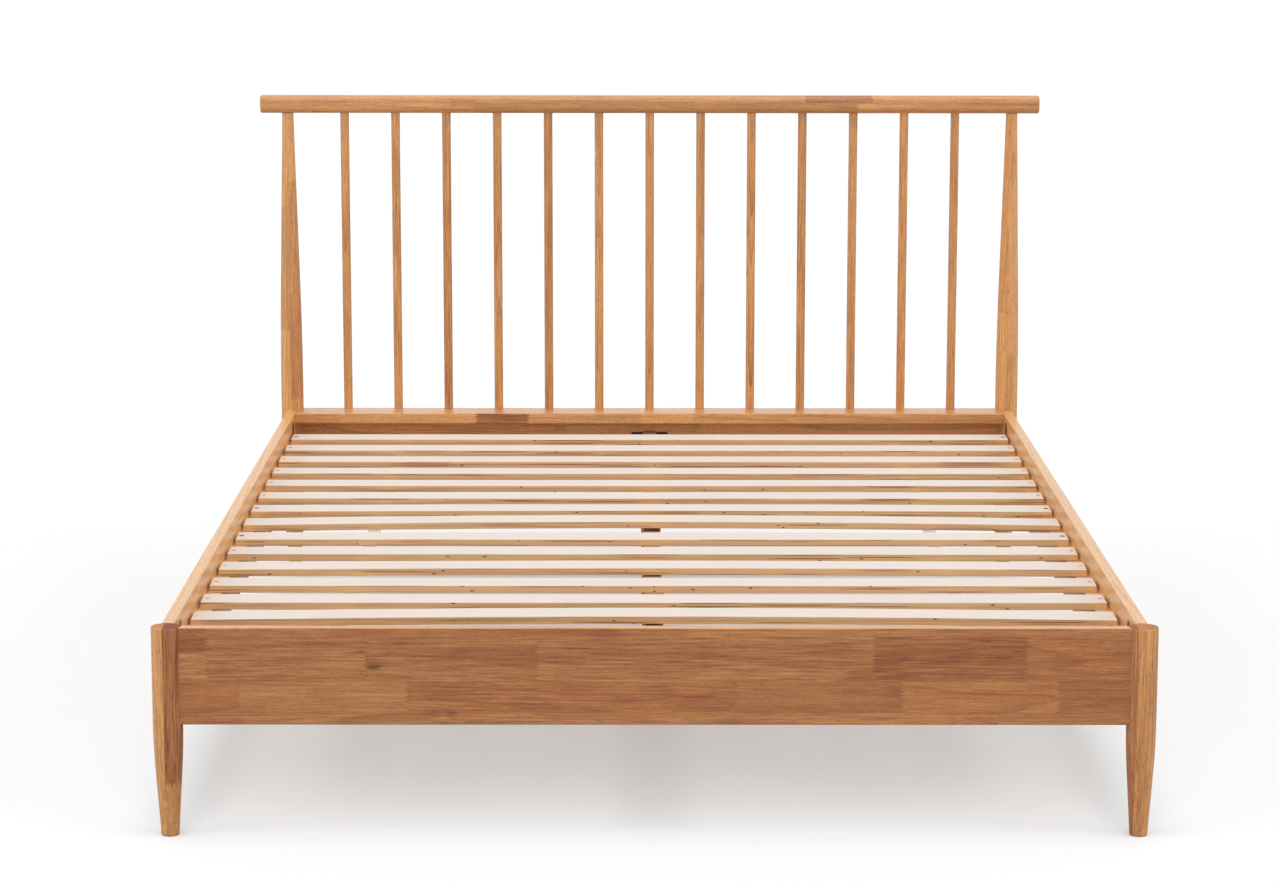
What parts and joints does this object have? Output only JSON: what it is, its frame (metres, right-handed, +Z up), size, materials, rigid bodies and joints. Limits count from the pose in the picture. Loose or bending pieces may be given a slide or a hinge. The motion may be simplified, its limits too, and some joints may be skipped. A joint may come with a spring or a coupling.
{
  "type": "spindle bed",
  "caption": "Timber bed with a spindle headboard, turned tapered legs, plank side rails and a slatted base on ledgers and a centre beam.",
  "frame": {"origin": "on the floor, under the middle of the bed's overall box", "axes": "+Z up, +Y from the foot of the bed to its head, +X to the right for someone at the foot who looks at the headboard"},
  "size_m": [1.687, 2.1634, 1.035],
  "materials": {
    "frame_wood": "clear satin lacquer on edge-glued hardwood staves",
    "spindle_wood": "clear satin lacquer",
    "slat_pine": "planed, unfinished",
    "ledger_wood": "planed, unfinished",
    "centre_leg_wood": "clear satin lacquer",
    "dowel_wood": "fluted beech, unfinished",
    "webbing": "flat woven tape",
    "black_steel": "black powder coat",
    "dark_screws": "dark passivated",
    "zinc_steel": "zinc plated",
    "staple_wire": "galvanised wire",
    "pad_plastic": "moulded"
  },
  "bodies": {
    "bed_frame": {"front_leg_left": "frame_wood", "front_leg_right": "frame_wood", "rear_post_left": "frame_wood", "rear_post_right": "frame_wood", "crest_rail": "frame_wood", "head_ledge_rail": "frame_wood", "head_board": "frame_wood", "footboard_panel": "frame_wood", "side_rail_left": "frame_wood", "side_rail_right": "frame_wood", "spindle_01": "spindle_wood", "spindle_02": "spindle_wood", "spindle_03": "spindle_wood", "spindle_04": "spindle_wood", "spindle_05": "spindle_wood", "spindle_06": "spindle_wood", "spindle_07": "spindle_wood", "spindle_08": "spindle_wood", "spindle_09": "spindle_wood", "spindle_10": "spindle_wood", "spindle_11": "spindle_wood", "spindle_12": "spindle_wood", "spindle_13": "spindle_wood", "slat_01": "slat_pine", "slat_02": "slat_pine", "slat_03": "slat_pine", "slat_04": "slat_pine", "slat_05": "slat_pine", "slat_06": "slat_pine", "slat_07": "slat_pine", "slat_08": "slat_pine", "slat_09": "slat_pine", "slat_10": "slat_pine", "slat_11": "slat_pine", "slat_12": "slat_pine", "slat_13": "slat_pine", "slat_14": "slat_pine", "slat_ledger_left": "ledger_wood", "slat_ledger_right": "ledger_wood", "centre_beam": "ledger_wood", "centre_leg_front": "centre_leg_wood", "centre_leg_rear": "centre_leg_wood", "locating_dowels": "dowel_wood", "slat_webbing_left": "webbing", "slat_webbing_right": "webbing", "beam_bracket_foot": "black_steel", "beam_bracket_head": "black_steel", "bracket_screws": "dark_screws", "slat_screws": "dark_screws", "ledger_screws": "dark_screws", "hanger_bolts": "zinc_steel", "bolt_washers": "zinc_steel", "bolt_nuts": "zinc_steel", "glide_inserts": "zinc_steel", "slat_staples": "staple_wire", "webbing_staples": "staple_wire"},
    "glide_front": {"glide_stud_front": "zinc_steel", "glide_pad_front": "pad_plastic"},
    "glide_rear": {"glide_stud_rear": "zinc_steel", "glide_pad_rear": "pad_plastic"}
  },
  "joints": [
    {"name": "front_glide_screw", "type": "slide", "parent": "bed_frame", "child": "glide_front", "axis": [0, 0, 1], "range_m": [-0.005, 0.01]},
    {"name": "rear_glide_screw", "type": "slide", "parent": "bed_frame", "child": "glide_rear", "axis": [0, 0, 1], "range_m": [-0.005, 0.01]}
  ]
}
